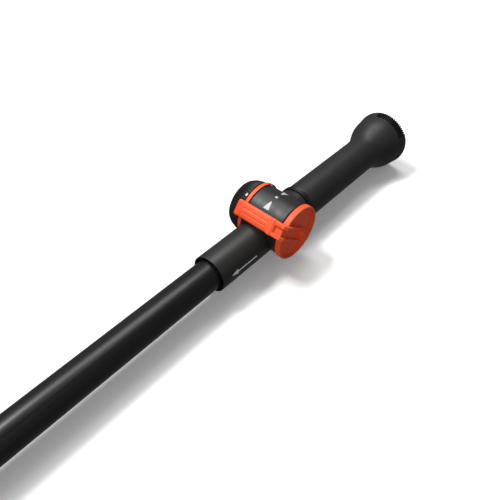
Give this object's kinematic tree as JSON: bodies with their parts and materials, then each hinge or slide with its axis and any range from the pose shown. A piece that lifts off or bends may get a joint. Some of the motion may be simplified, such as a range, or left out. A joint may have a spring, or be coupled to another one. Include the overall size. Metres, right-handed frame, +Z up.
{
  "type": "water-fed cleaning handle",
  "caption": "Long water-fed handle for cleaning brushes: hose nipple in a flared head, grip, cross valve with a bail lever, tube and a quick coupling.",
  "frame": {"origin": "under the middle of the handle, on the surface that it lies on", "axes": "+X along the handle to its hose end, +Z up, +Y to the valve's cap side"},
  "size_m": [0.9, 0.0594, 0.0563],
  "materials": {
    "dark_plastic": "satin moulded, fine texture",
    "grip_plastic": "satin moulded, fine texture",
    "black_plastic": "satin moulded, fluted",
    "orange_plastic": "satin moulded",
    "coated_tube": "satin black powder coat",
    "inner_plastic": "plain moulded",
    "white_plastic": "plain moulded",
    "seal_rubber": "matt",
    "steel": "plain bright"
  },
  "bodies": {
    "handle": {"tube": "coated_tube", "front_collar": "dark_plastic", "rear_collar": "dark_plastic", "coupling_rivet_0": "steel", "coupling_rivet_1": "steel", "collar_rivet_0": "steel", "collar_rivet_1": "steel", "valve_housing": "dark_plastic", "front_port_seat": "seal_rubber", "rear_port_seat": "seal_rubber", "spool_bush": "inner_plastic", "thrust_washer": "steel", "neck_ring": "black_plastic", "grip_sleeve": "grip_plastic", "water_tube": "inner_plastic", "swivel_seal": "seal_rubber", "neck_seal": "seal_rubber", "tube_bush": "inner_plastic", "bulkhead": "inner_plastic", "swivel_clip": "steel", "coupling_body": "dark_plastic", "coupling_spring": "steel", "collar_seal": "seal_rubber", "coupling_seal": "seal_rubber", "socket_seal": "seal_rubber"},
    "lever": {"bail_lever": "orange_plastic", "lever_screw": "steel", "valve_spool": "white_plastic", "spool_seal_left": "seal_rubber", "spool_seal_right": "seal_rubber"},
    "cap": {"valve_cap": "black_plastic", "cap_seal": "seal_rubber"},
    "hose_end": {"end_ring": "dark_plastic", "hose_nipple": "inner_plastic", "nipple_seal": "seal_rubber", "inlet_strainer": "steel"},
    "sleeve": {"release_sleeve": "orange_plastic"},
    "claw_up": {"upper_claw": "white_plastic"},
    "claw_down": {"lower_claw": "white_plastic"}
  },
  "joints": [
    {"name": "lever_turn", "type": "hinge", "parent": "handle", "child": "lever", "pos_m": [0.2784, 0, 0.0326], "axis": [0, 1, 0], "range_deg": [0, 110]},
    {"name": "cap_turn", "type": "hinge", "parent": "handle", "child": "cap", "pos_m": [0.2784, 0, 0.0326], "axis": [0, 1, 0], "range_deg": [0, 60]},
    {"name": "hose_swivel", "type": "hinge", "parent": "handle", "child": "hose_end", "pos_m": [0.42, 0, 0.0252], "axis": [1, 0, 0], "continuous": true},
    {"name": "sleeve_slide", "type": "slide", "parent": "handle", "child": "sleeve", "axis": [1, 0, 0], "range_m": [0, 0.006], "stiffness_N_per_m": 400, "springref_m": -0.004, "deforming": ["coupling_spring"]},
    {"name": "upper_claw_slide", "type": "slide", "parent": "handle", "child": "claw_up", "axis": [0, 0, 1], "range_m": [0, 0.0012]},
    {"name": "lower_claw_slide", "type": "slide", "parent": "handle", "child": "claw_down", "axis": [0, 0, -1], "range_m": [0, 0.0012]}
  ],
  "couplings": [
    {"joint": "upper_claw_slide", "follows": "sleeve_slide", "ratio": 0.2},
    {"joint": "lower_claw_slide", "follows": "sleeve_slide", "ratio": 0.2}
  ]
}
